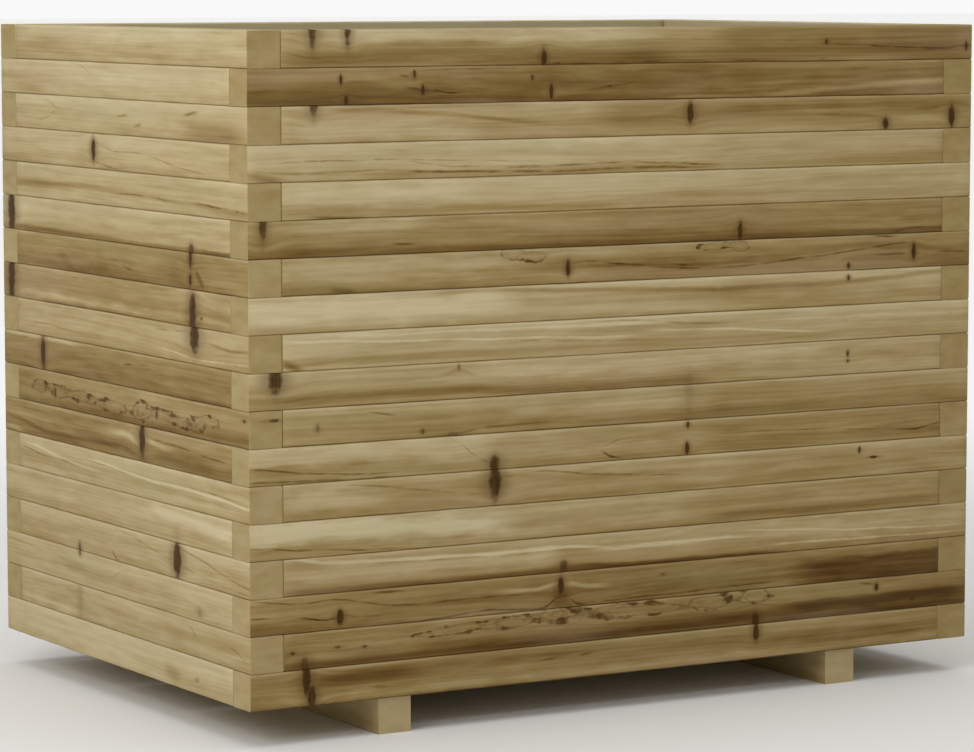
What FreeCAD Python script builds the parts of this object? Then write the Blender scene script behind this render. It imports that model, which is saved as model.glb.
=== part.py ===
import FreeCAD, Part
import math
import os

# Raised garden bed of stacked square pine beams, on two runners that act as feet.
# X runs along the bed, Y from front to back, Z up. The origin is on the ground under the bed's centre.
# In each course four beams chase each other round the box: each one laps a corner at one end and
# butts against its neighbour at the other. The next course turns the other way, so the corners interlock.
# All lengths are in millimetres.

# Bed and beams
BED_LENGTH = 900.0
BED_DEPTH = 600.0
COURSES = 18
BEAM_THICKNESS = 38.0
BEAM_HEIGHT = 38.0
BEAM_ARRIS = 1.5
BUTT_CLEARANCE = 0.5

# Feet: two runners from front to back under the lowest course
FOOT_WIDTH = 38.0
FOOT_HEIGHT = 38.0
FOOT_INSET = 150.0
FOOT_SETBACK = 5.0

# Floor: wide boards along the bed that lie on the feet, with gaps for drainage
FLOOR_BOARDS = 3
FLOOR_THICKNESS = 18.0
FLOOR_GAP = 7.0
FLOOR_END_GAP = 4.0
FLOOR_ARRIS = 1.5

# Countersunk wood screws
SCREW_DIAMETER = 4.5
SCREW_NECK_DIAMETER = 3.4
SCREW_HEAD_DIAMETER = 8.8
SCREW_HEAD_RIM = 0.6
SCREW_HEAD_SINK = 0.5
SCREW_POINT_LENGTH = 6.0
SCREW_DRIVE_SIDES = 6
SCREW_DRIVE_WIDTH = 4.0
SCREW_DRIVE_DEPTH = 1.6
SCREW_HOLE_CLEARANCE = 0.25
THREAD_CLEARANCE = 0.05

# Where the screws go. The wood left over a screw's point sets its length.
CORNER_SCREW_SHIFT = 8.0
BUTT_SCREW_DISTANCE = 30.0
MIDDLE_SCREW_SHIFT = 20.0
BEAM_POINT_COVER = 5.5
FLOOR_POINT_COVER = 15.5
FLOOR_SCREW_EDGE = 30.0

# Worked-out sizes
SCREW_HEAD_RADIUS = SCREW_HEAD_DIAMETER / 2
SCREW_NECK_RADIUS = SCREW_NECK_DIAMETER / 2
SCREW_RADIUS = SCREW_DIAMETER / 2
SCREW_HEAD_CONE = SCREW_HEAD_RADIUS - SCREW_NECK_RADIUS
INNER_LENGTH = BED_LENGTH - 2 * BEAM_THICKNESS
INNER_DEPTH = BED_DEPTH - 2 * BEAM_THICKNESS
FLOOR_WIDTH = (INNER_DEPTH - (FLOOR_BOARDS + 1) * FLOOR_GAP) / FLOOR_BOARDS
FOOT_CENTRE = BED_LENGTH / 2 - FOOT_INSET - FOOT_WIDTH / 2
FOOT_LENGTH = BED_DEPTH - 2 * FOOT_SETBACK
BEAM_SCREW_LENGTH = 2 * BEAM_HEIGHT - SCREW_HEAD_SINK - BEAM_POINT_COVER
FOOT_SCREW_LENGTH = FOOT_HEIGHT + BEAM_HEIGHT - SCREW_HEAD_SINK - BEAM_POINT_COVER
FLOOR_SCREW_LENGTH = FLOOR_THICKNESS + FOOT_HEIGHT - SCREW_HEAD_SINK - FLOOR_POINT_COVER

UP = FreeCAD.Vector(0, 0, 1)
DOWN = FreeCAD.Vector(0, 0, -1)

# Each wall: the way its beams run, anticlockwise round the bed seen from above, its length, and how far
# its beams' centre line lies from the bed's centre.
LONG_OFFSET = (BED_DEPTH - BEAM_THICKNESS) / 2
SHORT_OFFSET = (BED_LENGTH - BEAM_THICKNESS) / 2
WALLS = {
    "front": (FreeCAD.Vector(1, 0, 0), BED_LENGTH, LONG_OFFSET),
    "right": (FreeCAD.Vector(0, 1, 0), BED_DEPTH, SHORT_OFFSET),
    "back": (FreeCAD.Vector(-1, 0, 0), BED_LENGTH, LONG_OFFSET),
    "left": (FreeCAD.Vector(0, -1, 0), BED_DEPTH, SHORT_OFFSET),
}
LONG_WALLS = ("front", "back")
SHORT_WALLS = ("left", "right")


def eased_timber(length, width, height, arris):
    """A planed timber with rounded long edges, along +X from the origin, centred on Y, on Z = 0."""
    half = width / 2
    turn = arris * (1 - math.sqrt(0.5))

    def at(y, z):
        return FreeCAD.Vector(0, y, z)

    flats = [
        (at(-half + arris, 0), at(half - arris, 0)),
        (at(half, arris), at(half, height - arris)),
        (at(half - arris, height), at(-half + arris, height)),
        (at(-half, height - arris), at(-half, arris)),
    ]
    corners = [
        at(half - turn, turn),
        at(half - turn, height - turn),
        at(-half + turn, height - turn),
        at(-half + turn, turn),
    ]
    edges = []
    for index, (start, end) in enumerate(flats):
        next_start = flats[(index + 1) % len(flats)][0]
        edges.append(Part.makeLine(start, end))
        edges.append(Part.Arc(end, corners[index], next_start).toShape())
    return Part.Face(Part.Wire(edges)).extrude(FreeCAD.Vector(length, 0, 0))


def turned_along(shape, direction, start):
    """The shape with its X axis swung round to a level direction, and its origin moved to start."""
    angle = math.degrees(math.atan2(direction.y, direction.x))
    placed = shape.copy()
    placed.Placement = FreeCAD.Placement(start, FreeCAD.Rotation(UP, angle))
    return placed


def revolved(points):
    """A solid of revolution about Z, from (radius, height) points that start and end on the axis."""
    outline = [FreeCAD.Vector(radius, 0, height) for radius, height in points]
    face = Part.Face(Part.makePolygon([*outline, outline[0]]))
    return face.revolve(FreeCAD.Vector(0, 0, 0), UP, 360)


def wood_screw(length):
    """A countersunk screw: its head's top is at the origin, and its point is at Z = -length."""
    cone_end = -SCREW_HEAD_RIM - SCREW_HEAD_CONE
    thread_start = (cone_end - length) / 2
    point_start = SCREW_POINT_LENGTH - length
    body = revolved(
        [
            (0, 0),
            (SCREW_HEAD_RADIUS, 0),
            (SCREW_HEAD_RADIUS, -SCREW_HEAD_RIM),
            (SCREW_NECK_RADIUS, cone_end),
            (SCREW_NECK_RADIUS, thread_start),
            (SCREW_RADIUS, thread_start),
            (SCREW_RADIUS, point_start),
            (0, -length),
        ]
    )
    step = math.tau / SCREW_DRIVE_SIDES
    reach = SCREW_DRIVE_WIDTH / 2 / math.cos(step / 2)
    corners = [
        FreeCAD.Vector(reach * math.cos(corner * step), reach * math.sin(corner * step), -SCREW_DRIVE_DEPTH)
        for corner in range(SCREW_DRIVE_SIDES)
    ]
    drive = Part.Face(Part.makePolygon([*corners, corners[0]])).extrude(UP * SCREW_DRIVE_DEPTH)
    return body.cut(drive)


def clearance_hole(through):
    """The hole that a screw passes, with its mouth at the origin: a countersink, then a loose hole."""
    head = SCREW_HEAD_RADIUS + SCREW_HOLE_CLEARANCE
    shank = SCREW_RADIUS + SCREW_HOLE_CLEARANCE
    rim_end = -SCREW_HEAD_SINK - SCREW_HEAD_RIM
    # The seat is the head's own cone, down to where it meets the loose hole.
    seat_end = rim_end - (SCREW_HEAD_RADIUS - shank)
    return revolved(
        [
            (0, 0),
            (head, 0),
            (head, rim_end),
            (SCREW_HEAD_RADIUS, rim_end),
            (shank, seat_end),
            (shank, -through),
            (0, -through),
        ]
    )


def bitten_hole(depth):
    """The hole that a screw's thread has cut, with its mouth at the origin."""
    radius = SCREW_RADIUS + THREAD_CLEARANCE
    return revolved(
        [
            (0, 0),
            (radius, 0),
            (radius, SCREW_POINT_LENGTH - depth),
            (0, -depth - THREAD_CLEARANCE),
        ]
    )


def pointing(shape, way, place):
    """A screw or hole that points down, set at a place so that it points up or down."""
    placed = shape.copy()
    placed.Placement = FreeCAD.Placement(place, FreeCAD.Rotation(DOWN, way))
    return placed


def course_base(course):
    """The height of a course's underside. Courses count from 1 at the bottom."""
    return FOOT_HEIGHT + (course - 1) * BEAM_HEIGHT


def lap_side(course):
    """1 where a course's beams lap the corner that they run towards, -1 where they lap the other one."""
    return 1 if course % 2 == 0 else -1


def outward(wall):
    """The level direction out of the bed, square to a wall."""
    direction = WALLS[wall][0]
    return FreeCAD.Vector(direction.y, -direction.x, 0)


def on_wall(wall, along, height):
    """A point on a wall's centre line, at a distance along it from its middle."""
    direction, _, offset = WALLS[wall]
    return direction * along + outward(wall) * offset + UP * height


def beam_span(wall, course):
    """Where a beam starts and ends along its wall."""
    half = WALLS[wall][1] / 2
    butted = half - BEAM_THICKNESS - BUTT_CLEARANCE
    return (-butted, half) if lap_side(course) > 0 else (-half, butted)


def beam_screw_places(wall, course):
    """The heads of a beam's own screws, on its underside: near each end, and near a long beam's middle."""
    half = WALLS[wall][1] / 2
    lap = lap_side(course)
    places = [
        lap * (half - BEAM_THICKNESS / 2 - CORNER_SCREW_SHIFT),
        -lap * (half - BEAM_THICKNESS - BUTT_CLEARANCE - BUTT_SCREW_DISTANCE),
    ]
    if wall in LONG_WALLS:
        places.append(lap * MIDDLE_SCREW_SHIFT)
    return [on_wall(wall, along, course_base(course)) for along in places]


def lies_over(wall, course, place):
    """Whether a beam stands over a place."""
    direction, _, offset = WALLS[wall]
    start, end = beam_span(wall, course)
    along = place.dot(direction)
    across = place.dot(outward(wall)) - offset
    return start < along < end and abs(across) < BEAM_THICKNESS / 2


def foot_screw_places():
    """The heads of the feet's screws, on the ground side, under the front and back walls."""
    return [
        FreeCAD.Vector(side * FOOT_CENTRE, end * LONG_OFFSET, 0)
        for side in (-1, 1)
        for end in (-1, 1)
    ]


def floor_board_centre(board):
    """How far a floor board's centre line lies behind the bed's middle. Board 0 is the front one."""
    return (board - (FLOOR_BOARDS - 1) / 2) * (FLOOR_WIDTH + FLOOR_GAP)


def floor_screw_places(board):
    """The heads of a floor board's screws, on its top: two over each foot."""
    reach = FLOOR_WIDTH / 2 - FLOOR_SCREW_EDGE
    top = FOOT_HEIGHT + FLOOR_THICKNESS
    return [
        FreeCAD.Vector(side * FOOT_CENTRE, floor_board_centre(board) + edge * reach, top)
        for side in (-1, 1)
        for edge in (-1, 1)
    ]


def beam(wall, course):
    """One wall beam, with the holes of its own screws and of those that come up from below."""
    start, end = beam_span(wall, course)
    timber = eased_timber(end - start, BEAM_THICKNESS, BEAM_HEIGHT, BEAM_ARRIS)
    placed = turned_along(timber, WALLS[wall][0], on_wall(wall, start, course_base(course)))
    holes = []
    if course < COURSES:
        own = clearance_hole(BEAM_HEIGHT)
        holes += [pointing(own, UP, place) for place in beam_screw_places(wall, course)]
    if course > 1:
        bite = bitten_hole(BEAM_SCREW_LENGTH + SCREW_HEAD_SINK - BEAM_HEIGHT)
        below = [place for other in WALLS for place in beam_screw_places(other, course - 1)]
    else:
        bite = bitten_hole(FOOT_SCREW_LENGTH + SCREW_HEAD_SINK - FOOT_HEIGHT)
        below = foot_screw_places()
    for place in below:
        if lies_over(wall, course, place):
            mouth = FreeCAD.Vector(place.x, place.y, course_base(course))
            holes.append(pointing(bite, UP, mouth))
    return placed.cut(holes)


def foot(side):
    """A runner, with the holes of its own screws from below and of the floor's screws from above."""
    timber = eased_timber(FOOT_LENGTH, FOOT_WIDTH, FOOT_HEIGHT, BEAM_ARRIS)
    start = FreeCAD.Vector(side * FOOT_CENTRE, -FOOT_LENGTH / 2, 0)
    placed = turned_along(timber, FreeCAD.Vector(0, 1, 0), start)
    own = clearance_hole(FOOT_HEIGHT)
    bite = bitten_hole(FLOOR_SCREW_LENGTH + SCREW_HEAD_SINK - FLOOR_THICKNESS)
    holes = [pointing(own, UP, place) for place in foot_screw_places() if place.x * side > 0]
    for board in range(FLOOR_BOARDS):
        for place in floor_screw_places(board):
            if place.x * side > 0:
                mouth = FreeCAD.Vector(place.x, place.y, FOOT_HEIGHT)
                holes.append(pointing(bite, DOWN, mouth))
    return placed.cut(holes)


def floor_board(board):
    """A floor board that lies on both feet, with its screws' holes."""
    length = INNER_LENGTH - 2 * FLOOR_END_GAP
    timber = eased_timber(length, FLOOR_WIDTH, FLOOR_THICKNESS, FLOOR_ARRIS)
    start = FreeCAD.Vector(-length / 2, floor_board_centre(board), FOOT_HEIGHT)
    own = clearance_hole(FLOOR_THICKNESS)
    holes = [pointing(own, DOWN, place) for place in floor_screw_places(board)]
    return turned_along(timber, FreeCAD.Vector(1, 0, 0), start).cut(holes)


def screws(length, way, places):
    """A screw at each place, sunk below the face that it enters."""
    model = wood_screw(length)
    return [pointing(model, way, place + way * SCREW_HEAD_SINK) for place in places]


def all_nodes():
    """Every node's name, with its solids."""
    nodes = {}
    for course in range(1, COURSES + 1):
        nodes[f"course_{course:02d}_long_beams"] = [beam(wall, course) for wall in LONG_WALLS]
        nodes[f"course_{course:02d}_short_beams"] = [beam(wall, course) for wall in SHORT_WALLS]
    beam_places = [
        place
        for course in range(1, COURSES)
        for wall in WALLS
        for place in beam_screw_places(wall, course)
    ]
    floor_places = [place for board in range(FLOOR_BOARDS) for place in floor_screw_places(board)]
    nodes["beam_screws"] = screws(BEAM_SCREW_LENGTH, UP, beam_places)
    nodes["left_foot"] = [foot(-1)]
    nodes["right_foot"] = [foot(1)]
    nodes["foot_screws"] = screws(FOOT_SCREW_LENGTH, UP, foot_screw_places())
    for board in range(FLOOR_BOARDS):
        nodes[f"floor_board_{board + 1}"] = [floor_board(board)]
    nodes["floor_screws"] = screws(FLOOR_SCREW_LENGTH, DOWN, floor_places)
    return nodes


os.makedirs("parts", exist_ok=True)
for name, solids in all_nodes().items():
    Part.makeCompound(solids).exportStep(f"parts/{name}.step")
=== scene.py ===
import math
import bpy
import numpy as np
from mathutils import Euler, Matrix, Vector


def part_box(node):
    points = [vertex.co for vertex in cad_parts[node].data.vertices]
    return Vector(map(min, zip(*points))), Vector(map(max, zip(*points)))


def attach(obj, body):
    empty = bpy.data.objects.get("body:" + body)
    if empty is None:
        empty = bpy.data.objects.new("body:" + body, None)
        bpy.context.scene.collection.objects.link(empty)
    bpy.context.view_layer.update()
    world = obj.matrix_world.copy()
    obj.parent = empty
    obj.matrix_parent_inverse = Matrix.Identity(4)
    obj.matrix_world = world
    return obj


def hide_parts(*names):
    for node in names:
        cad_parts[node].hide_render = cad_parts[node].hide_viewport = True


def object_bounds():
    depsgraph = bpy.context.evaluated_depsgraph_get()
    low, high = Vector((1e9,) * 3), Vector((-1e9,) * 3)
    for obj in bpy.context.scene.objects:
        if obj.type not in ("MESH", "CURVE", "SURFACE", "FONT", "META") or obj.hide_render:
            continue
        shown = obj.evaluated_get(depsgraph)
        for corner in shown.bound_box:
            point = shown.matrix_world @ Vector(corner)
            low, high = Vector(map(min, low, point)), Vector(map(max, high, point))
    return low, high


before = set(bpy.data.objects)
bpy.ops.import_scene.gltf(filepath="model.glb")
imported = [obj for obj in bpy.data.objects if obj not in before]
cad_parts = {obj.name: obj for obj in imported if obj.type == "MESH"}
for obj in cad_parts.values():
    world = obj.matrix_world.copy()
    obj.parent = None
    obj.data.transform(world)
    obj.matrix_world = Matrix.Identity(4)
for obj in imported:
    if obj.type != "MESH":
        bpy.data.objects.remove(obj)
cad_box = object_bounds()

# Feet
# Two runners of planed pine that lie from front to back on the ground and carry everything else.
# The wood is pressure treated, which leaves it olive-tan, and the ends are crosscut square.


class Field:
    """A quantity that changes over a surface: a shader socket that can be used in arithmetic."""

    def __init__(self, tree, socket=None):
        self.tree = tree
        self.socket = socket

    def node(self, kind, settings=None, inputs=None, output=0):
        """Any node. Its settings and a ramp's stops come first, then its sockets' values or links."""
        made = self.tree.nodes.new("ShaderNode" + kind)
        for key, value in (settings or {}).items():
            if key == "stops":
                stops = made.color_ramp.elements
                while len(stops) < len(value):
                    stops.new(0.5)
                for stop, (position, color) in zip(stops, value):
                    stop.position = position
                    stop.color = color
            elif key == "interpolation":
                made.color_ramp.interpolation = value
            else:
                setattr(made, key, value)
        for key, value in (inputs or {}).items():
            if isinstance(value, Field):
                self.tree.links.new(value.socket, made.inputs[key])
            else:
                made.inputs[key].default_value = value
        return Field(self.tree, made.outputs[output])

    def maths(self, operation, *values):
        """A Math node on these values."""
        return self.node("Math", {"operation": operation}, dict(enumerate(values)))

    def __add__(self, other):
        return self.maths("ADD", self, other)

    def __sub__(self, other):
        return self.maths("SUBTRACT", self, other)

    def __rsub__(self, other):
        return self.maths("SUBTRACT", other, self)

    def __mul__(self, other):
        return self.maths("MULTIPLY", self, other)

    def __truediv__(self, other):
        return self.maths("DIVIDE", self, other)

    def __abs__(self):
        return self.maths("ABSOLUTE", self)

    __radd__ = __add__
    __rmul__ = __mul__

    def fade(self, start, end):
        """0 at start and 1 at end, with a smooth step between them and the same values beyond."""
        turned = start > end
        limits = {1: min(start, end), 2: max(start, end), 3: float(turned), 4: float(not turned)}
        return self.node("MapRange", {"interpolation_type": "SMOOTHSTEP"}, {0: self, **limits})

    def noise(self, lengths, seed, detail=2.0):
        """Cloudy noise from 0 to 1, whose blotches have these lengths along the three axes."""
        scale = tuple(1 / length for length in lengths)
        shift = (seed * 7.31, seed * 3.17, seed * 5.53)
        place = self.node("VectorMath", {"operation": "MULTIPLY_ADD"}, {0: self, 1: scale, 2: shift})
        return self.node("TexNoise", {}, {"Vector": place, "Scale": 1.0, "Detail": detail})

    def tinted(self, color, share):
        """This colour with a share of another one over it."""
        return self.node("Mix", {"data_type": "RGBA"}, {0: share, 6: self, 7: color}, output=2)

    def into(self, shader, socket):
        """Feeds this to a socket of the shader."""
        self.tree.links.new(self.socket, shader.inputs[socket])


def screen_color(red, green, blue):
    """A colour given as 0 to 255 on a screen, as the light that it stands for."""
    screen = np.array([red, green, blue]) / 255
    light = np.where(screen <= 0.04045, screen / 12.92, ((screen + 0.055) / 1.055) ** 2.4)
    return (*light.tolist(), 1.0)


PALE_TO_DARK_PINE = [
    (0.0, screen_color(210, 195, 155)),
    (0.25, screen_color(189, 170, 127)),
    (0.5, screen_color(160, 136, 87)),
    (0.75, screen_color(123, 95, 47)),
    (1.0, screen_color(83, 56, 20)),
]
KNOT_HAZE = screen_color(96, 70, 34)
KNOT_HEART = screen_color(66, 41, 6)
BARK_BROWN = screen_color(84, 57, 16)
SALT_GREEN = screen_color(152, 147, 98)
ROSE_BEIGE = screen_color(190, 166, 130)
# Planed section of the feet and the beams, and the wood's own sizes, in millimetres
low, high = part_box("left_foot")
SECTION = round((high.z - low.z) * 1000, 3)
RING_WIDTH = 3.4
RING_WAVE = 22
KNOT_LEAN = 0.35
KNOT_TAPER = 0.012


def knots_in(along, inward, down, ragged, knots):
    """Knots as (along, down, half width, half height, darkness): their hearts, their haze and their push.

    A knot is an oval, where across squared + upright squared is under 1, with a soft ragged edge. It leans
    and gets thinner on its way into the timber, as a branch does towards the pith. The push is how far the
    grain next to it is moved up or down so that it flows round: it grows with the distance from the
    middle, and dies away.
    """
    heart, haze, push = 0.0, 0.0, 0.0
    for middle, depth, half_width, half_height, darkness in knots:
        across = (along - middle - inward * KNOT_LEAN) / ((1 - inward * KNOT_TAPER) * half_width)
        upright = (down - depth) / half_height
        spread = upright * upright
        oval = across * across + spread + (ragged - 0.5) * 1.2
        inside = oval.fade(1.4, 0.1) * darkness
        heart = inside.maths("MAXIMUM", inside, heart)
        around = (abs(across) * 0.4 + spread * 0.5).fade(1.3, 0.1) * darkness
        haze = around.maths("MAXIMUM", around, haze)
        near = across * across * -0.06 - spread * 0.5
        push = push + upright * near.maths("EXPONENT", near) * (half_height * 0.55 * darkness)
    return heart, haze, push


def streak_in(along, down, ragged, mottle, broken, path, half_height, darkness, core=0.15):
    """A band along a smooth path of (along, down) points. Its core is the share at full strength.

    A ramp holds the path: its grey is the depth, as a share of the span from the lowest depth. The band
    fades from its core to its edge, which the mottle makes uneven, and a thin dark one breaks up.
    """
    (start, _), (end, _) = path[0], path[-1]
    lowest, span = -20.0, 80.0
    greys = [(depth - lowest) / span for _, depth in path]
    stops = [((place - start) / (end - start), (g, g, g, 1.0)) for (place, _), g in zip(path, greys)]
    share = along.node("MapRange", {}, {0: along, 1: start, 2: end})
    level = share.node("ValToRGB", {"stops": stops, "interpolation": "CARDINAL"}, {0: share})
    level = level.maths("MULTIPLY_ADD", level, span, lowest)
    blur = min(30.0, (end - start) * 0.35)
    ends = along.fade(start - blur, start + blur) * along.fade(end + blur, end - blur)
    off = (abs(down - level) + (ragged - 0.5) * 1.6) / half_height + (mottle - 0.5) * 0.9
    band = off.fade(1.2, core) * ends * darkness
    return band * broken if half_height < 2 and darkness > 0 else band


def figure_in(along, down, shake, blot, islands):
    """Where a wavy growth ring grazes the face: dark contours round islands of it.

    The height is a sum of bumps, exp(-(across squared + upright squared)), with noise added near them. One
    contour is at 0.45 and a fainter one at 0.8. A line is thin on a steep slope and thick on a gentle one,
    and swells where it has a blot.
    """
    height = 0.0
    for middle, depth, half_length, half_height in islands:
        across = (along - middle) / half_length
        upright = (down - depth) / half_height
        fall = (across * across + upright * upright) * -1
        height = height + fall.maths("EXPONENT", fall)
    height = height + (shake - 0.5) * 1.1 * height.fade(0.02, 0.25)
    outer = (abs(height - 0.45) - blot * 0.14).fade(0.16, 0.03)
    inner = abs(height - 0.8).fade(0.1, 0.02) * 0.5
    return outer.maths("MAXIMUM", outer, inner)


def treated_pine(
    name, turn, corner, seed, tone, end_tone=0.44, seam_shade=0.0, knots=(), streaks=(), islands=()
):
    """Pressure-treated pine, as a solid that the timber is cut from.

    A place in the timber is given in millimetres along its grain, inward from its outer face and down from
    its top, counted from one corner and turned about the vertical. Growth rings are cylinders round a pith
    outside the timber, made wavy by noise. Darkness adds up the tone, streaky noise, the rings, painted
    shading that is paler at the top and darker towards the bottom, the timber's own streaks and, where it
    has seam shade, painted shade along the lower long edges under a painted highlight along the upper
    ones. A ramp turns it into colour. Sawn ends have one tone of their own. Ring figure and knots go over
    that.
    """
    material = bpy.data.materials.new(name)
    material.use_nodes = True
    tree = material.node_tree
    shader = tree.nodes["Principled BSDF"]
    millimetres = Vector((1000, 1000, -1000))
    start = Euler((0, 0, turn)).to_matrix() @ Vector(a * b for a, b in zip(corner, millimetres))
    place = Field(tree).node("TexCoord", output="Object")
    mapping = {"Vector": place, "Location": -start, "Rotation": (0, 0, turn), "Scale": millimetres}
    place = place.node("Mapping", {}, mapping)
    along, inward, down = (place.node("SeparateXYZ", {}, {0: place}, axis) for axis in range(3))
    facing = place.node("TexCoord", output="Normal")
    grain_way = (math.cos(turn), -math.sin(turn), 0.0)
    facing = facing.node("VectorMath", {"operation": "DOT_PRODUCT"}, {0: facing, 1: grain_way}, "Value")
    sawn_end = abs(facing).fade(0.6, 0.8)

    ragged = place.noise((10, 10, 6), seed + 1)
    heart, haze, push = knots_in(along, inward, down, ragged, knots)
    flow = down - push
    grain = place.node("CombineXYZ", {}, {0: along, 1: inward, 2: flow})
    cloud = grain.noise((420, 40, 15), seed + 2)
    streaky = grain.noise((190, 9, 4.4), seed + 3, 3.0)
    mottle = grain.noise((46, 20, 9), seed + 14, 3.0)
    fibre = grain.noise((34, 1.0, 0.6), seed + 4, 3.0)
    fleck = grain.noise((9, 1.6, 1.0), seed + 5).fade(0.7, 0.78)
    salt = grain.noise((260, 60, 30), seed + 6)
    wave = grain.noise((420, 60, 45), seed + 7)
    pith_in, pith_up = np.random.default_rng(seed).uniform((45, 20), (110, 70))
    beside = inward - pith_in
    above = flow + pith_up
    from_pith = beside * beside + above * above
    ring = (from_pith.maths("SQRT", from_pith) + wave * RING_WAVE) / RING_WIDTH
    tooth = ring.maths("FRACT", ring)
    late = tooth.fade(0.3, 0.85) * tooth.fade(1.0, 0.9)

    dark = (cloud - 0.5) * 0.5 + (streaky - 0.5) * 0.2 + (mottle - 0.5) * 0.3 + late * 0.04
    # Painted light and shade: every piece is paler at its top and darker towards its bottom, as if lit from
    # above
    dark = dark + (down - SECTION / 2) * 0.0045 + tone
    waving = down + (grain.noise((70, 40, 40), seed + 8) - 0.5) * 4
    broken = grain.noise((30, 20, 8), seed + 12).fade(0.3, 0.6)
    for streak in streaks:
        dark = dark + streak_in(along, waving, ragged, mottle, broken, *streak)
    if seam_shade:
        # Painted shade on the lower long edges, where the seams lie in shadow, and a painted highlight on
        # the upper ones
        edge = down.fade(SECTION - 1.6, SECTION - 0.3) * seam_shade - down.fade(4.0, 0.8) * 0.1
        dark = dark + edge * abs(inward - SECTION / 2).fade(SECTION / 2 - 1.4, SECTION / 2 - 0.2)
    end_dark = end_tone + late * 0.015 + (cloud - 0.5) * 0.2 + (mottle - 0.5) * 0.2
    dark = dark + (end_dark - dark) * sawn_end + (fibre - 0.5) * 0.08 + fleck * 0.06
    color = dark.node("ValToRGB", {"stops": PALE_TO_DARK_PINE}, {0: dark})
    color = color.tinted(SALT_GREEN, salt.fade(0.5, 0.8) * 0.22 + sawn_end * 0.06)
    color = color.tinted(ROSE_BEIGE, salt.fade(0.48, 0.25) * 0.3)
    if islands:
        blot = grain.noise((14, 14, 7), seed + 10).fade(0.45, 0.68)
        shake = grain.noise((26, 20, 9), seed + 9)
        lines = figure_in(along, down, shake, blot, islands)
        color = color.tinted(BARK_BROWN, lines * (blot * 0.6 + 0.35))
    if knots:
        strand = place.noise((2.2, 14, 30), seed + 13).fade(0.25, 0.6) * 0.3 + 0.7
        color = color.tinted(KNOT_HAZE, haze.maths("MAXIMUM", haze * 0.6, heart * 0.85))
        color = color.tinted(KNOT_HEART, heart.fade(0.1, 1.0) * strand * 0.95)

    color.into(shader, "Base Color")
    (fibre * 0.16 + 0.56).into(shader, "Roughness")
    relief = fibre * 0.5 + (late * 0.35 + streaky * 0.3) * (1 - sawn_end)
    relief = relief.node("Bump", {}, {"Height": relief, "Strength": 0.3, "Distance": 0.0004})
    relief.into(shader, "Normal")
    shader.inputs["Specular IOR Level"].default_value = 0.12
    return material


def dress(node, material):
    """Gives a solid of the frame its finish."""
    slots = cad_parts[node].data.materials
    slots.clear()
    slots.append(material)


for seed, node in enumerate(("left_foot", "right_foot"), start=500):
    low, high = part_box(node)
    corner = (high.x, low.y, high.z)
    dress(node, treated_pine(f"{node}_pine", -math.pi / 2, corner, seed, tone=0.36, end_tone=0.28))

# Floor boards
# Wide boards that lie on the feet inside the walls and hold the soil, with gaps that let the water out.
# They are the same treated pine as the feet, a little darker, and are screwed down into the feet.
for seed, node in enumerate(("floor_board_1", "floor_board_2", "floor_board_3"), start=510):
    low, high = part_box(node)
    dress(node, treated_pine(f"{node}_pine", 0.0, (low.x, low.y, high.z), seed, tone=0.42))

# Wall beams
# Square beams of planed pine, four to a course. Each laps one corner and butts at the other, where its
# neighbour's end shows. Long edges are eased, ends are sawn, and hidden screws hold course to course.
COURSES = 18
low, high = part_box("course_01_long_beams")
BEAM = high.z - low.z
ARRIS = 0.0015
ARRIS_CHANGE = 0.45
ARRIS_POINTS = 5
ARRIS_WAVES = (0.31, 0.13, 0.047)
SAWN_EDGE = 0.0005
BUTT_GAP = 0.0005
STATION_STEP = 0.012
# Strength of the painted shade on the beams' lower long edges
PAINTED_SEAM_SHADE = 0.32
# Where points lie on a flat between two corners, and how large the rings on a sawn end are
FLAT_SHARES = np.array([0.03, 0.35, 0.65, 0.97])
END_SHARES = (0.3, 0.6, 0.9)
# On a beam's flat map: the skin's width, a sawn end's size and inset, and the margin round it all
SKIN_ON_MAP = 0.945
END_ON_MAP = (0.035, 0.45)
END_INSET = (0.01, 0.02)
MAP_MARGIN = 0.01
# A beam's noises take up to 14 seeds
SEEDS_PER_BEAM = 20
SEEDS_PER_WALL = 400
low, high = cad_box
# Each wall: its left end seen from outside, and the way its beams run from there
WALLS = {
    "front": ((low.x, low.y), (1, 0)),
    "back": ((high.x, high.y), (-1, 0)),
    "left": ((low.x, high.y), (0, -1)),
    "right": ((high.x, low.y), (0, 1)),
}
WALL_LENGTH = {"long": high.x - low.x, "short": high.y - low.y}
PAIRS = {"long": ("front", "back"), "short": ("left", "right")}
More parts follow.
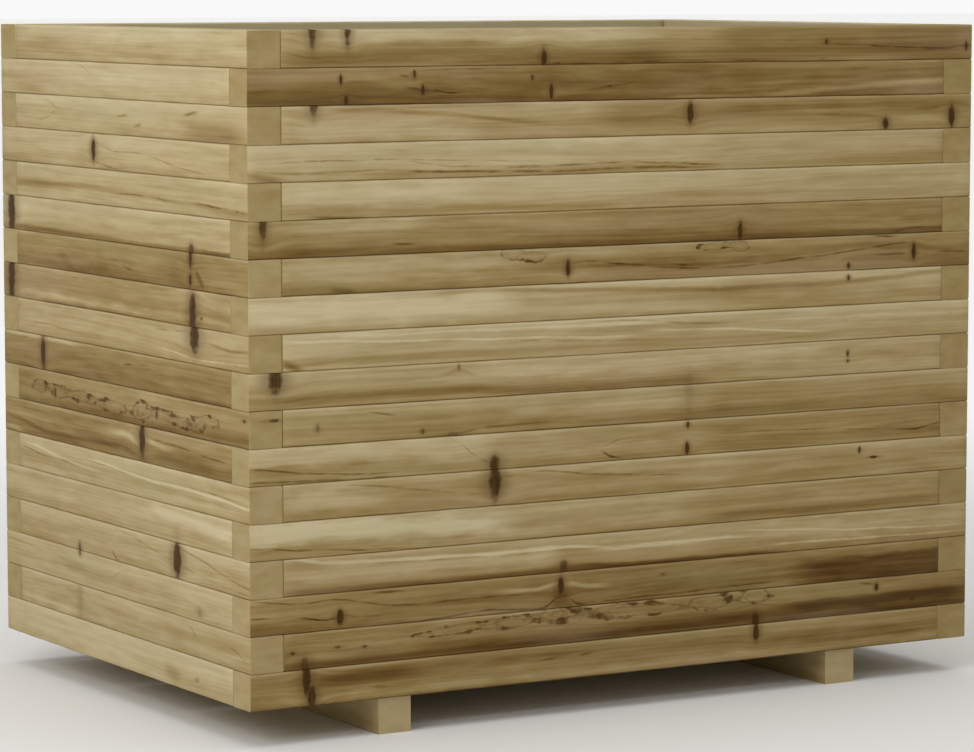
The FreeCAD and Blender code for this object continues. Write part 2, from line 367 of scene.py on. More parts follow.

# The beams that face the camera, by course, with tones from 0, pale, to 1, dark. Places are millimetres
# from the wall's left end, seen from outside, and down from the beam's top. A knot is (along, down, half
# width, half height, darkness), a streak is (path, half height, darkness, core), where a darkness under
# 0 is pale and the core may be left out, and an island is (along, down, half length, half height).
# The end tones of front courses 9, 7, 5, 3 and 1 are paler, painted light against the shade that falls low
# on the left wall, where those ends show
FRONT_BEAMS = {
    18: dict(
        tone=0.44,
        knots=[
            (74, -2, 5.5, 24, 0.8),
            (114, -2, 4.5, 22, 0.85),
            (345, 31, 4, 12, 1),
            (703, 17, 2.5, 3.5, 0.8),
            (892, 24, 2.2, 6, 0.8),
        ],
        streaks=[
            ([(40, 30), (200, 29), (500, 31)], 10, 0.2),
            ([(110, 6), (330, 7), (480, 5)], 8, -0.12),
            ([(450, 16), (700, 18), (900, 20)], 30, 0.12),
            ([(330, 36), (640, 36)], 1, 0.2),
            ([(845, 26), (870, 25), (895, 22)], 1.3, 0.6),
            ([(685, 31), (692, 35), (702, 34)], 1, 0.3),
            ([(780, 19), (920, 19)], 30, 0.06),
            ([(110, 6), (330, 8), (580, 6)], 9, -0.1),
            ([(560, 16), (700, 18), (900, 20)], 30, 0.12),
            ([(715, 20), (760, 22), (850, 25)], 0.9, 0.28),
        ],
    ),
    17: dict(
        tone=0.70,
        knots=[
            (106, 12, 2, 6, 0.9),
            (112, 34, 3, 7, 1),
            (191, 8, 2, 5, 0.9),
            (201, 24, 2.4, 6, 1),
            (331, 13, 1.8, 3.5, 0.8),
            (354, 27, 2.8, 9, 1),
            (426, 23, 4, 1.5, 0.7),
        ],
        streaks=[
            ([(500, 37), (640, 34), (860, 23)], 3.5, -0.2),
            ([(640, 37), (900, 35)], 4, -0.15),
            ([(380, 28), (430, 23), (500, 15)], 1.2, 0.15),
            ([(205, 4), (300, 3)], 1, 0.2),
            ([(186, 22), (201, 24), (214, 25)], 1.8, 0.5),
            ([(200, 23), (225, 26), (260, 27)], 1.2, 0.35),
            ([(176, 9), (190, 10)], 1.4, 0.4),
            ([(120, 10), (190, 20), (300, 18)], 6, -0.08),
        ],
    ),
    16: dict(
        tone=0.38,
        knots=[(75, -3, 6, 17, 0.75), (527, 15, 4.5, 13, 1), (783, 31, 4.5, 8, 1), (873, 24, 5, 13, 1)],
        streaks=[
            ([(95, 4), (180, 8), (260, 14), (330, 20)], 3, 0.2),
            ([(110, 3), (320, 2)], 2.5, 0.18),
            ([(420, 10), (640, 12), (900, 13)], 22, 0.2),
            ([(690, 20), (760, 22), (780, 24)], 2.5, 0.15),
            ([(790, 26), (865, 27)], 6, -0.16),
            ([(40, 28), (130, 27), (260, 30)], 9, -0.14),
            ([(780, 19), (920, 19)], 30, 0.06),
        ],
    ),
    15: dict(
        tone=0.27,
        streaks=[
            ([(60, 17), (180, 19), (240, 26)], 1, 0.2),
            ([(240, 26), (330, 29), (450, 27), (560, 32)], 1.4, 0.3),
            ([(200, 30), (330, 34), (470, 33), (540, 35)], 1.6, 0.3),
            ([(150, 33), (560, 33)], 6, 0.14),
            ([(0, 31), (35, 35)], 5, 0.3),
            ([(0, 6), (500, 5)], 7, -0.1),
            ([(600, 30), (900, 30)], 8, 0.08),
            ([(560, 19), (760, 19), (930, 19)], 30, 0.09),
            ([(30, 18), (120, 17), (260, 20), (340, 24)], 1.1, 0.22),
            ([(0, 26), (60, 29), (140, 28), (220, 31)], 1.3, 0.22),
        ],
    ),
    14: dict(
        tone=0.29,
        streaks=[
            ([(40, 12), (140, 12), (260, 13)], 15, -0.18),
            ([(75, 36), (130, 38)], 3, 0.3),
            ([(200, 30), (420, 34)], 4, 0.08),
            ([(500, 20), (900, 20)], 25, 0.05),
        ],
    ),
    13: dict(
        tone=0.58,
        knots=[(17, 2, 5, 22, 0.8), (592, 29, 3.5, 12, 1)],
        streaks=[
            ([(40, 10), (200, 8)], 9, -0.16),
            ([(165, 27), (188, 28)], 1.4, 0.3),
            ([(40, 33), (200, 34), (480, 36), (900, 34)], 5, 0.14),
            ([(790, 38), (812, 32), (860, 33)], 1.2, 0.2),
            ([(430, 19), (620, 19)], 30, 0.06),
        ],
    ),
    12: dict(
        tone=0.50,
        knots=[(375, 22, 3.5, 10, 1), (823, 20, 3.5, 10, 1), (735, 33, 2.5, 4, 0.9)],
        streaks=[
            ([(380, 16), (400, 15), (430, 19), (520, 27), (640, 25), (760, 15), (820, 10)], 1.3, 0.3),
            ([(500, 22), (525, 24)], 1.2, 0.35),
            ([(380, 20), (560, 25)], 3, 0.12),
            ([(760, 22), (825, 22)], 1.6, 0.35),
            ([(40, 14), (160, 16), (310, 15)], 16, -0.12),
            ([(95, 34), (120, 36)], 4, 0.2),
            ([(860, 22), (895, 23)], 1.5, 0.25),
            ([(430, 20), (660, 20), (900, 20)], 30, 0.05),
            ([(770, 2), (795, 3)], 1.5, 0.4),
            ([(740, 19), (930, 19)], 30, 0.07),
        ],
        islands=[(308, 4, 16, 5), (334, 8, 16, 5), (560, 5, 20, 4), (592, 6, 10, 6)],
    ),
    11: dict(
        tone=0.25,
        knots=[(735, 8, 2.5, 4, 0.9)],
        streaks=[
            ([(0, 15), (120, 16), (300, 19)], 16, -0.24),
            ([(230, 2), (360, 6), (560, 13)], 3.5, 0.22),
            ([(300, 12), (440, 16), (600, 18)], 12, 0.1),
            ([(555, 13), (740, 12), (862, 6)], 4, 0.2),
            ([(575, 19), (900, 19)], 30, 0.1),
        ],
    ),
    10: dict(
        tone=0.21,
        streaks=[
            ([(45, 8), (130, 11), (260, 15), (460, 21)], 1.6, -0.25),
            ([(60, 4), (300, 6), (480, 8)], 2.5, -0.16),
            ([(480, 15), (600, 20), (700, 27)], 1.4, -0.22),
            ([(600, 12), (900, 14)], 1.5, -0.12),
            ([(400, 3), (480, 6), (560, 12)], 1.2, 0.25),
            ([(280, 18), (360, 22), (480, 25)], 1.2, 0.18),
            ([(40, 30), (300, 30), (900, 32)], 7, 0.14),
            ([(38, 30), (60, 37)], 6, 0.35),
            ([(450, 19), (680, 19), (930, 19)], 30, 0.09),
        ],
    ),
    9: dict(
        tone=0.38,
        end_tone=0.37,
        knots=[
            (30, 7, 9, 17, 0.9),
            (243, 5, 1.3, 4, 0.6),
            (735, 15, 1.8, 4.5, 0.9),
            (735, 23, 1.6, 2.2, 0.9),
            (527, 36, 8, 14, 0.25),
        ],
        streaks=[
            ([(225, 12), (243, 8), (262, 14)], 3, 0.14),
            ([(40, 30), (250, 28), (330, 34), (540, 33)], 6, 0.22),
            ([(270, 10), (420, 14), (700, 12)], 9, -0.14),
        ],
    ),
    8: dict(
        tone=0.43,
        knots=[
            (78, 21, 2.5, 5, 0.5),
            (200, 31, 3, 3.5, 0.6),
            (527, 10, 7, 26, 0.25),
            (235, 37, 9, 4, 0.45),
        ],
        streaks=[
            ([(140, 8), (165, 12)], 1.2, 0.3),
            ([(232, 36), (270, 31), (340, 30)], 1.5, 0.2),
            ([(550, 22), (900, 22)], 18, 0.14),
            ([(250, 22), (500, 20)], 9, -0.08),
        ],
    ),
    7: dict(
        tone=0.42,
        end_tone=0.38,
        knots=[(286, 33, 7, 12, 0.9), (525, 30, 3, 8, 1), (526, 5, 2.5, 4, 0.8)],
        streaks=[
            ([(232, 2), (255, 16), (280, 30)], 1, 0.25),
            ([(416, 26), (425, 32), (440, 36)], 1.5, 0.4),
            ([(418, 22), (430, 18), (455, 14)], 1, 0.2),
            ([(0, 20), (60, 27), (150, 33)], 1.2, 0.35),
            ([(0, 33), (100, 36), (160, 37)], 1.6, 0.35),
            ([(560, 17), (700, 20), (800, 25)], 0.9, 0.15),
            ([(810, 26), (835, 26), (862, 22)], 1.3, 0.35),
            ([(560, 20), (700, 20), (880, 20)], 28, 0.13),
            ([(0, 10), (140, 12), (270, 12)], 14, -0.2),
            ([(760, 19), (900, 19)], 30, 0.09),
        ],
    ),
    6: dict(
        tone=0.42,
        knots=[(286, 14, 8.5, 20, 1), (752, 8, 2, 4, 0.9), (771, 17, 6, 1.6, 0.9)],
        streaks=[
            ([(110, 5), (180, 12), (278, 25)], 1.1, 0.25),
            ([(300, 8), (350, 6), (400, 12), (520, 20)], 1.2, 0.25),
            ([(840, 18), (900, 20)], 0.9, 0.2),
            ([(460, 30), (600, 33)], 3, 0.08),
            ([(40, 18), (90, 20), (150, 22)], 15, -0.22),
            ([(600, 20), (750, 20)], 22, 0.1),
        ],
    ),
    5: dict(
        tone=0.36,
        end_tone=0.38,
        streaks=[
            ([(0, 11), (150, 14), (300, 20)], 15, -0.36),
            ([(0, 24), (50, 29), (160, 36)], 1.2, 0.3),
            ([(540, 14), (900, 15)], 22, 0.12),
            ([(560, 30), (700, 30), (862, 29)], 6, 0.2),
        ],
    ),
    4: dict(
        tone=0.44,
        knots=[(370, 34, 7, 10, 0.7)],
        streaks=[
            ([(40, 18), (200, 18), (360, 20)], 9, -0.2),
            ([(48, 0), (80, 5), (140, 9), (260, 11), (380, 12), (430, 16), (600, 17)], 2.6, -0.32),
            ([(150, 12), (300, 14), (400, 15), (600, 19)], 1, 0.22),
            ([(40, 36), (200, 36), (370, 36)], 6, 0.26),
            ([(375, 34), (460, 37), (640, 38)], 5, 0.4),
            ([(600, 10), (720, 18), (900, 24)], 1.2, -0.2),
            ([(640, 28), (760, 30), (900, 31)], 1.4, -0.25),
            ([(620, 16), (760, 18), (900, 19)], 15, -0.12),
        ],
    ),
    3: dict(
        tone=0.57,
        end_tone=0.35,
        knots=[(103, 25, 4.5, 9, 1), (367, 14, 4.5, 11, 1), (495, 12, 3, 2, 0.5)],
        streaks=[
            ([(300, 16), (340, 15), (362, 11)], 3.2, -0.3),
            ([(372, 12), (395, 16), (425, 18)], 3.6, -0.3),
            ([(0, 2), (55, 8), (100, 7), (160, 18), (260, 19), (350, 20)], 1.3, 0.25),
            ([(60, 23), (85, 27), (103, 25)], 1.4, 0.4),
            ([(105, 22), (120, 27), (145, 28)], 1.3, 0.35),
            ([(0, 20), (22, 20)], 1, 0.4),
            ([(145, 3), (176, 4)], 1.4, 0.4),
            ([(190, 37), (240, 35), (270, 33), (330, 36)], 1.3, 0.4),
            ([(390, 35), (500, 33), (640, 31)], 1.2, 0.28),
            ([(675, 26), (760, 25), (885, 25)], 15, 0.28, 0.8),
            ([(358, 26), (376, 26)], 14, 0.14),
            ([(335, 37), (350, 34), (362, 26)], 1.5, 0.35),
            ([(372, 24), (384, 33), (402, 37)], 1.5, 0.35),
        ],
    ),
    2: dict(
        tone=0.63,
        knots=[
            (615, 35, 5.5, 12, 1),
            (777, 10, 3, 5, 0.95),
            (826, 27, 3, 2.5, 0.8),
            (62, 36, 6, 14, 0.6),
            (48, 20, 3.5, 2, 0.8),
            (100, 18, 5, 1.6, 0.6),
            (131, 20, 3.5, 1.8, 0.7),
        ],
        streaks=[
            ([(200, 30), (420, 31), (640, 29)], 8, 0.2),
            ([(40, 34), (200, 34)], 5, 0.12),
            ([(650, 30), (760, 28), (900, 27)], 12, 0.3, 0.6),
            ([(755, 4), (772, 6)], 1, 0.4),
        ],
        islands=[
            (215, 14, 28, 3.5),
            (260, 10, 30, 5),
            (310, 10, 24, 6),
            (365, 4, 20, 10),
            (440, 8, 38, 8),
            (495, 11, 28, 5),
            (558, 9, 26, 7),
            (615, 7, 22, 9),
        ],
    ),
    1: dict(
        tone=0.56,
        end_tone=0.33,
        knots=[(64, 8, 5.5, 20, 0.95), (70, 30, 5.5, 16, 1), (616, 8, 4.5, 12, 1)],
        streaks=[
            ([(74, 28), (100, 26), (160, 25)], 1.2, 0.3),
            ([(70, 16), (120, 14), (185, 12)], 10, 0.22),
            ([(345, 15), (365, 14)], 1.2, 0.35),
            ([(392, 14), (408, 12)], 1.2, 0.35),
            ([(90, 10), (500, 12), (900, 8)], 11, 0.08),
            ([(0, 31), (300, 33), (600, 33), (900, 32)], 5, -0.14),
        ],
    ),
}
LEFT_BEAMS = {
    18: dict(
        tone=0.25,
        end_tone=0.48,
        streaks=[
            ([(30, 28), (110, 26), (205, 30)], 7, 0.12),
            ([(290, 28), (420, 30)], 5, 0.1),
            ([(220, 12), (600, 14)], 8, -0.06),
            ([(510, 2), (560, 4)], 2, 0.15),
            ([(0, 19), (160, 19)], 30, 0.05),
        ],
    ),
    17: dict(
        tone=0.20,
        streaks=[
            ([(180, 1), (210, 4), (238, 12)], 1.5, 0.16),
            ([(300, 14), (400, 16)], 1, 0.14),
            ([(40, 30), (110, 32)], 6, 0.1),
            ([(-30, 19), (110, 19)], 30, 0.07),
        ],
    ),
    16: dict(
        tone=0.25,
        streaks=[
            ([(100, 3), (130, 7), (152, 14)], 1.4, 0.2),
            ([(95, 28), (130, 22), (152, 14)], 1.2, 0.16),
            ([(455, 26), (520, 29), (590, 27)], 17, 0.2),
            ([(495, 30), (530, 32), (565, 31)], 9, 0.12),
            ([(463, 12), (475, 10), (488, 8)], 2.2, 0.35),
            ([(302, 18), (325, 16)], 2, 0.3),
            ([(344, 27), (358, 25)], 2, 0.25),
        ],
    ),
    15: dict(
        tone=0.28,
        knots=[(241, 17, 6, 14, 1)],
        streaks=[
            ([(253, 10), (290, 17), (370, 18), (420, 25), (500, 33)], 1, 0.25),
            ([(240, 30), (265, 32), (300, 36)], 1, 0.25),
            ([(205, 20), (275, 20)], 20, 0.1),
        ],
    ),
    14: dict(
        tone=0.28,
        streaks=[
            ([(40, 22), (200, 20), (330, 23), (480, 27), (600, 32)], 4, 0.18),
            ([(290, 24), (340, 23), (420, 25)], 1, 0.25),
            ([(490, 26), (560, 28), (600, 30)], 1.4, 0.35),
            ([(0, 24), (120, 24)], 12, 0.14),
        ],
    ),
    13: dict(
        tone=0.29,
        knots=[(24, 16, 11, 42, 0.9), (474, 36, 7, 9, 0.7)],
        streaks=[
            ([(40, 34), (300, 36), (600, 37)], 4, 0.3),
            ([(490, 34), (560, 37)], 4, 0.2),
        ],
    ),
    12: dict(
        tone=0.55,
        end_tone=0.41,
        knots=[(472, 4, 4.5, 14, 0.95), (471, 28, 4, 7, 0.95)],
        streaks=[
            ([(290, 19), (315, 24), (345, 29)], 1.3, 0.25),
            ([(485, 20), (500, 32)], 6, 0.2),
            ([(150, 22), (180, 28)], 8, 0.1),
            ([(410, 20), (500, 20)], 25, 0.12),
        ],
    ),
    11: dict(
        tone=0.50,
        knots=[(22, 16, 10, 40, 0.95), (476, 26, 9, 28, 0.95), (496, 28, 3, 2, 0.7)],
        streaks=[
            ([(40, 30), (300, 31), (560, 28)], 5, -0.2),
            ([(60, 5), (300, 6)], 1, 0.15),
        ],
    ),
    10: dict(
        tone=0.38,
        knots=[(480, 9, 12, 20, 0.95)],
        streaks=[
            ([(395, 8), (450, 6)], 1.4, 0.3),
            ([(510, 14), (560, 18), (600, 17)], 2, 0.2),
            ([(75, 25), (130, 24), (200, 29)], 1.2, 0.2),
            ([(400, 27), (480, 32), (600, 30)], 1.2, -0.2),
        ],
    ),
    9: dict(
        tone=0.58,
        knots=[(105, 18, 7, 20, 0.9), (108, 34, 4, 6, 0.6)],
        streaks=[
            ([(312, 14), (330, 13)], 1.3, 0.3),
            ([(355, 11), (372, 10)], 1.3, 0.3),
            ([(0, 2), (200, 3)], 3, -0.25),
        ],
    ),
    8: dict(
        tone=0.57,
        knots=[
            (136, 22, 3, 6, 0.7),
            (222, 20, 6, 3, 0.6),
            (255, 20, 12, 1.4, 0.7),
            (390, 22, 3, 6, 0.7),
            (428, 20, 9, 1.8, 0.7),
            (468, 25, 9, 3, 0.5),
            (590, 10, 4, 2, 0.7),
        ],
        islands=[
            (93, 19, 18, 8.5),
            (145, 20, 28, 7),
            (212, 21, 36, 6),
            (284, 24, 34, 6.5),
            (352, 22, 19, 10),
            (405, 21, 30, 6.5),
            (468, 25, 34, 6.5),
            (512, 17, 26, 5),
        ],
    ),
    7: dict(
        tone=0.53,
        knots=[(355, 14, 8, 22, 0.95)],
        streaks=[
            ([(285, 12), (325, 14), (350, 20)], 4.5, -0.28),
            ([(362, 14), (395, 17), (420, 18)], 4.5, -0.3),
            ([(370, 12), (460, 14), (560, 20)], 1.6, 0.25),
            ([(0, 20), (60, 24), (120, 30), (300, 26)], 3, 0.14),
            ([(200, 20), (348, 28)], 7, 0.12),
            ([(0, 33), (40, 34)], 4, -0.25),
            ([(380, 24), (520, 26)], 14, 0.14),
        ],
    ),
    6: dict(
        tone=0.26,
        end_tone=0.39,
        streaks=[
            ([(240, 11), (320, 15), (380, 18), (480, 17), (600, 22)], 1.8, -0.42),
            ([(160, 14), (240, 13), (330, 17)], 1, 0.2),
            ([(60, 9), (140, 16), (240, 21)], 1.8, -0.25),
            ([(50, 14), (80, 17), (115, 19)], 1.3, 0.3),
            ([(150, 19), (185, 22)], 1.2, 0.25),
            ([(470, 14), (540, 16), (600, 19)], 1.2, 0.25),
            ([(400, 22), (600, 27)], 1.2, 0.12),
            ([(40, 20), (200, 22)], 8, 0.08),
        ],
    ),
    5: dict(
        tone=0.28,
        knots=[(436, 34, 6, 14, 0.2)],
        streaks=[
            ([(380, 8), (440, 13), (558, 16)], 8, -0.2),
            ([(460, 26), (600, 32)], 4, 0.12),
            ([(510, 19), (630, 19)], 30, -0.09),
        ],
    ),
    4: dict(
        tone=0.31,
        end_tone=0.41,
        knots=[(436, 17, 10, 22, 1), (196, 36, 4.5, 8, 0.7)],
        streaks=[
            ([(285, 2), (340, 8), (400, 17), (428, 18)], 1.1, 0.25),
            ([(445, 5), (520, 16), (600, 28)], 1.3, 0.3),
            ([(450, 24), (520, 31), (600, 34)], 1.1, 0.22),
            ([(276, 26), (285, 33), (300, 37)], 1.6, 0.4),
        ],
    ),
    3: dict(
        tone=0.25,
        knots=[(196, 2, 4, 5, 0.6), (487, 28, 7, 5, 0.35)],
        streaks=[
            ([(250, 22), (285, 17), (302, 9)], 1.3, 0.16),
            ([(0, 8), (100, 12), (190, 16)], 1.5, 0.14),
            ([(440, 12), (500, 20)], 5, -0.1),
        ],
    ),
    2: dict(
        tone=0.34,
        end_tone=0.39,
        knots=[(196, 18, 5.5, 34, 0.25)],
        streaks=[
            ([(555, 17), (570, 19), (585, 24)], 1.4, 0.25),
            ([(465, 8), (478, 14)], 2, 0.15),
            ([(40, 28), (185, 32)], 6, -0.14),
            ([(220, 19), (390, 19)], 30, -0.06),
        ],
    ),
    1: dict(
        tone=0.17,
        streaks=[
            ([(405, 20), (440, 28)], 12, 0.14),
            ([(475, 24), (485, 22)], 4, 0.2),
            ([(50, 28), (400, 30)], 8, -0.05),
            ([(200, 19), (400, 19)], 30, -0.08),
        ],
    ),
}
# Over the near rim the inner faces of the two far top beams show. They get the palest tone, painted light
# that makes those inner faces, in shade inside the bed, look lit
FAR_RIM = {18: dict(tone=0.0)}
# The other beams' ends show at the corners, paler at the far left than at the right
END_TONES = {"back": 0.37, "right": 0.48}
SEEN_BEAMS = {"front": FRONT_BEAMS, "left": LEFT_BEAMS, "back": FAR_RIM, "right": FAR_RIM}


def grown_marks(length, end_tone, rng):
    """A beam's tones, knots and streaks by chance: up to three knots, and a few streaks, thin or soft."""
    reach = length * 1000
    knots = []
    for _ in range(rng.integers(0, 4)):
        middle = rng.uniform(20, reach - 20)
        depth = rng.uniform(4, 34)
        half_width, half_height = rng.uniform((2.5, 5), (7, 18))
        knots.append((middle, depth, half_width, half_height, rng.uniform(0.6, 1)))
    streaks = []
    for _ in range(rng.integers(3, 7)):
        start = rng.uniform(0, reach * 0.6)
        end = start + rng.uniform(0.15, 0.4) * reach
        levels = np.clip(rng.uniform(4, 34) + rng.uniform(-5, 5, 3), 2, 36)
        thin = rng.random() < 0.5
        half_height = rng.uniform(1, 1.6) if thin else rng.uniform(4, 10)
        darkness = rng.uniform(0.15, 0.35) if thin else rng.uniform(-0.15, 0.2)
        streaks.append((list(zip(np.linspace(start, end, 3), levels)), half_height, darkness))
    tone, end_change = rng.uniform((0.22, 0.0), (0.55, 0.05))
    return dict(tone=tone, end_tone=end_tone + end_change, knots=knots, streaks=streaks)


def wander(along, lengths, size, rng):
    """A slow wave from -size to size: the mean of sines of these lengths, each with a phase of its own."""
    phases = rng.uniform(0, 2 * np.pi, len(lengths))
    waves = np.sin(2 * np.pi * along[:, None] / np.array(lengths) + phases)
    return size * waves.mean(axis=1)


def beam_skin(first, last, rng):
    """A beam's skin as points in (along, inward, down), its faces, and their corners' places on a flat map.

    Each ring of points is a square with rounded corners: on a corner a point is the corner's centre plus
    the radius times (cos, sin), and four points follow on the flat beyond it. The radius wanders along the
    beam. At both ends the rings draw in by the sawn edge, then shrink in steps to a point at the middle.
    The map, from 0 to 1 each way, unrolls the skin: along the beam runs across it, and round the beam runs
    up it. The two sawn ends lie in a strip at its right, one above the other.
    """
    stations = np.linspace(first + SAWN_EDGE, last - SAWN_EDGE, int((last - first) / STATION_STEP) + 2)
    shrink = np.array([*END_SHARES, 1 - 2 * SAWN_EDGE / BEAM])
    along = np.concatenate([np.full(len(shrink), first), stations, np.full(len(shrink), last)])
    size = np.concatenate([shrink, np.ones(len(stations)), shrink[::-1]])
    radius = ARRIS * (1 + wander(along, ARRIS_WAVES, ARRIS_CHANGE, rng))[:, None, None]
    corner = np.arange(4)[:, None] * np.pi / 2
    turn = corner + np.linspace(0, np.pi / 2, ARRIS_POINTS)
    reach = (BEAM / 2 - radius) * math.sqrt(2)
    arcs = [reach * wave(corner + np.pi / 4) + radius * wave(turn) for wave in (np.cos, np.sin)]
    arcs = np.stack(arcs, axis=-1)
    after = np.roll(arcs[:, :, :1], -1, axis=1)
    flats = arcs[:, :, -1:] + (after - arcs[:, :, -1:]) * FLAT_SHARES[:, None]
    section = np.concatenate([arcs, flats], axis=2).reshape(len(along), -1, 2)
    section = section * size[:, None, None] + BEAM / 2
    rings, points = section.shape[:2]
    skin = np.concatenate([np.broadcast_to(along[:, None, None], (rings, points, 1)), section], axis=2)
    middles = [(first, BEAM / 2, BEAM / 2), (last, BEAM / 2, BEAM / 2)]
    spot = np.arange(rings * points).reshape(rings, points)
    beside = np.roll(spot, -1, axis=1)
    quads = np.stack([spot[:-1], beside[:-1], beside[1:], spot[1:]], axis=2).reshape(-1, 4)
    first_end = np.stack([np.full(points, spot.size), beside[0], spot[0]], axis=1)
    last_end = np.stack([np.full(points, spot.size + 1), spot[-1], beside[-1]], axis=1)
    faces = quads.tolist() + first_end.tolist() + last_end.tolist()

    halfway = section[rings // 2]
    sides = np.linalg.norm(np.diff(halfway, axis=0, append=halfway[:1]), axis=1)
    round_beam = np.append(0, np.cumsum(sides)) / sides.sum()
    along_beam = SKIN_ON_MAP * (along - first) / (last - first)
    end_height = np.where(along < (first + last) / 2, 0.0, 0.5)
    end_corner = np.stack([np.full(rings, SKIN_ON_MAP), end_height], axis=1) + END_INSET
    ends = end_corner[:, None] + np.array(END_ON_MAP) * section / BEAM
    ring = np.arange(rings - 1)[:, None, None] + np.array([0, 0, 1, 1])
    point = np.arange(points)[None, :, None] + np.array([0, 1, 1, 0])
    on_skin = np.stack(np.broadcast_arrays(along_beam[ring], round_beam[point]), axis=-1)
    on_end = len(END_SHARES)
    is_skin = (ring.min(axis=2) >= on_end) & (ring.max(axis=2) < rings - on_end)
    quad_map = np.where(is_skin[:, :, None, None], on_skin, ends[ring, point % points])
    here, beyond = ends[[0, -1]], np.roll(ends[[0, -1]], -1, axis=1)
    middle = np.broadcast_to(here.mean(axis=1, keepdims=True), here.shape)
    first_map = np.stack([middle[0], beyond[0], here[0]], axis=1)
    last_map = np.stack([middle[1], here[1], beyond[1]], axis=1)
    flat_map = np.concatenate([part.reshape(-1, 2) for part in (quad_map, first_map, last_map)])
    return np.concatenate([skin.reshape(-1, 3), middles]), faces, flat_map


def lying_on(wall, points, top):
    """Points given as (along, inward, down) on a wall, in the bed's own frame."""
    (corner_x, corner_y), (way_x, way_y) = WALLS[wall]
    along, inward, down = points.T
    x = corner_x + way_x * along - way_y * inward
    y = corner_y + way_y * along + way_x * inward
    return np.stack([x, y, top - down], axis=1)


rng = np.random.default_rng(18)
for course in range(COURSES, 0, -1):
    for kind, walls in PAIRS.items():
        node = f"course_{course:02d}_{kind}_beams"
        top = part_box(node)[1].z
        length = WALL_LENGTH[kind]
        laps_far_corner = course % 2 == 0
        first = BEAM + BUTT_GAP if laps_far_corner else 0.0
        last = length if laps_far_corner else length - BEAM - BUTT_GAP
        mesh = bpy.data.meshes.new(f"course_{course:02d}_{'_and_'.join(walls)}")
        points, faces, finish, flat_maps = [], [], [], []
        for index, wall in enumerate(walls):
            beam_points, beam_faces, flat_map = beam_skin(first, last, rng)
            faces += [[corner + len(points) for corner in face] for face in beam_faces]
            points += lying_on(wall, beam_points, top).tolist()
            finish += [index] * len(beam_faces)
            half_map = flat_map * (1 - 2 * MAP_MARGIN) + MAP_MARGIN + (0, index)
            flat_maps.append(half_map * (1, 1 / len(walls)))
            marks = SEEN_BEAMS[wall].get(course) or grown_marks(length, END_TONES[wall], rng)
            corner, way = WALLS[wall]
            seed = course * SEEDS_PER_BEAM + list(WALLS).index(wall) * SEEDS_PER_WALL
            turn = -math.atan2(way[1], way[0])
            name = f"{wall}_pine_{course:02d}"
            # Each beam gets painted shade on its lower long edges and a painted highlight on its upper ones
            pine = treated_pine(name, turn, (*corner, top), seed, seam_shade=PAINTED_SEAM_SHADE, **marks)
            mesh.materials.append(pine)
        mesh.from_pydata(points, [], faces)
        mesh.uv_layers.new(name="OFBake").data.foreach_set("uv", np.concatenate(flat_maps).ravel())
        mesh.polygons.foreach_set("material_index", finish)
        mesh.polygons.foreach_set("use_smooth", np.ones(len(faces), dtype=bool))
        piece = bpy.data.objects.new(mesh.name, mesh)
        bpy.context.scene.collection.objects.link(piece)
        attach(piece, "root")
        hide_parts(node)

# Screws
# Countersunk wood screws of zinc-plated steel. In the walls each course is screwed to the next from below,
# so no head shows there. The feet are screwed on from the ground side and the floor boards from above.


def zinc_plate(name):
    """Zinc on steel: blotches of lighter and duller grey, a warm film where it is worn, and fine scuffs."""
    material = bpy.data.materials.new(name)
    material.use_nodes = True
    shader = material.node_tree.nodes["Principled BSDF"]
    place = Field(material.node_tree).node("TexCoord", output="Object")
    place = place.node("VectorMath", {"operation": "SCALE"}, {0: place, "Scale": 1000.0})
    blotch = place.noise((2.4, 2.4, 2.4), 700)
    scuff = place.noise((0.5, 0.5, 2.0), 701, 3.0)
    grey = [(0.3, screen_color(188, 190, 190)), (0.7, screen_color(158, 158, 152))]
    color = blotch.node("ValToRGB", {"stops": grey}, {0: blotch})
    color = color.tinted(screen_color(150, 128, 84), scuff.fade(0.55, 0.8) * 0.5)
    color.into(shader, "Base Color")
    (blotch * 0.2 + scuff * 0.25 + 0.15).into(shader, "Roughness")
    relief = scuff.node("Bump", {}, {"Height": scuff, "Strength": 0.2, "Distance": 0.0001})
    relief.into(shader, "Normal")
    shader.inputs["Metallic"].default_value = 1.0
    return material


for node in ("beam_screws", "foot_screws", "floor_screws"):
    dress(node, zinc_plate(f"{node}_zinc"))

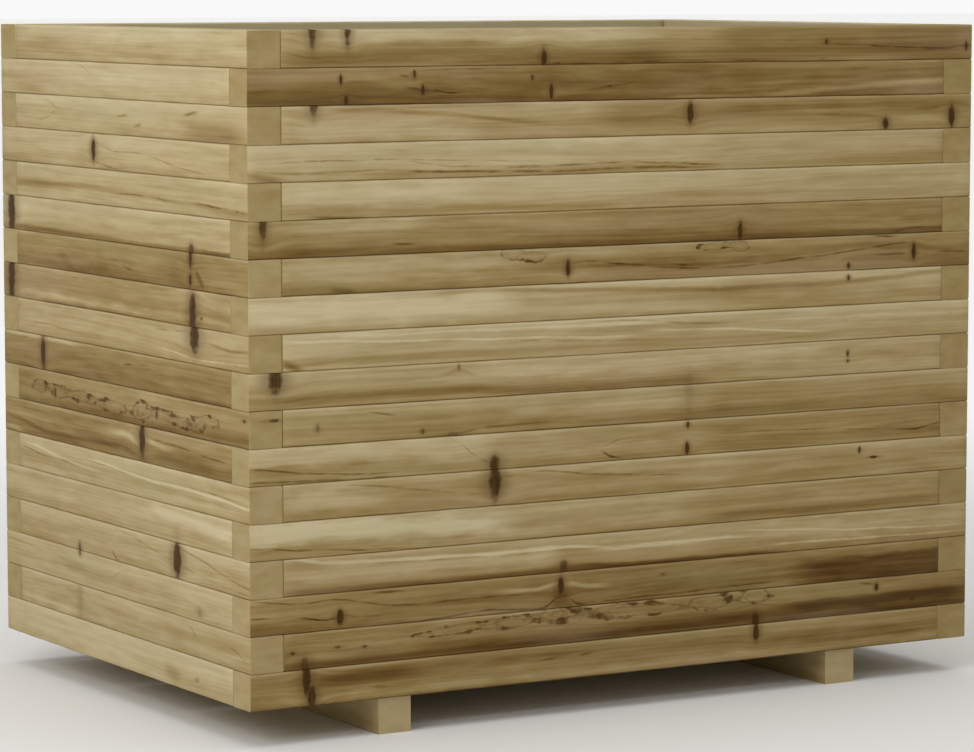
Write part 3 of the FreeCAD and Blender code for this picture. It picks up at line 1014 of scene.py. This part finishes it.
# Studio
# A plain pale floor that runs out into white, with soft light from above and from left of the camera.
# The camera stands off the front left corner, just above the rim, and looks a little down.
FLOOR_REACH = 60.0
floor_mesh = bpy.data.meshes.new("studio_floor")
corner_ways = ((-1, -1), (1, -1), (1, 1), (-1, 1))
floor_corners = [(x * FLOOR_REACH, y * FLOOR_REACH, 0.0) for x, y in corner_ways]
floor_mesh.from_pydata(floor_corners, [], [(0, 1, 2, 3)])
floor_paint = bpy.data.materials.new("pale_floor")
floor_paint.use_nodes = True
floor_shader = floor_paint.node_tree.nodes["Principled BSDF"]
floor_shader.inputs["Base Color"].default_value = screen_color(246, 246, 244)
floor_shader.inputs["Roughness"].default_value = 0.9
floor_shader.inputs["Emission Strength"].default_value = 1.0
floor_place = Field(floor_paint.node_tree).node("TexCoord", output="Object")
from_bed = floor_place.node("VectorMath", {"operation": "LENGTH"}, {0: floor_place}, "Value")
# Painted light: the floor glows more the further it lies from the bed, so that it runs out into white
(from_bed.fade(0.8, 3.0) * 0.25).into(floor_shader, "Emission Color")
floor_mesh.materials.append(floor_paint)
floor = bpy.data.objects.new("studio_floor", floor_mesh)
bpy.context.scene.collection.objects.link(floor)

world = bpy.data.worlds.new("studio_sky")
world.use_nodes = True
sky = Field(world.node_tree)
ray = sky.node("TexCoord", output="Generated")
height = ray.node("SeparateXYZ", {}, {0: ray}, output=2)
white_to_grey = [(0.0, (0.95, 0.95, 0.95, 1)), (0.04, (0.43, 0.43, 0.43, 1))]
brightness = height.node("ValToRGB", {"stops": white_to_grey}, {0: height})
brightness.into(world.node_tree.nodes["Background"], "Color")
bpy.context.scene.world = world

key = bpy.data.lights.new("key_light", "AREA")
key.energy = 24.0
key.size = 1.6
key_light = bpy.data.objects.new("key_light", key)
key_light.location = (-2.5, -1.25, 1.8)
toward_bed = Vector((0.0, 0.0, 0.35)) - key_light.location
key_light.rotation_euler = toward_bed.to_track_quat("-Z", "Y").to_euler()
bpy.context.scene.collection.objects.link(key_light)

overhead = bpy.data.lights.new("overhead_light", "SUN")
overhead.energy = 0.87
overhead.angle = math.radians(60)
overhead_light = bpy.data.objects.new("overhead_light", overhead)
bpy.context.scene.collection.objects.link(overhead_light)

lens = bpy.data.cameras.new("camera")
lens.sensor_width = 36.0
lens.lens = 145.3
camera = bpy.data.objects.new("camera", lens)
look_down, look_right = 0.1018, 0.5358
camera.location = (-2.2365, -3.7748, 0.777)
camera.rotation_euler = (math.pi / 2 - look_down, 0.0, -look_right)
bpy.context.scene.collection.objects.link(camera)
bpy.context.scene.camera = camera
bpy.context.scene.view_settings.view_transform = "Standard"
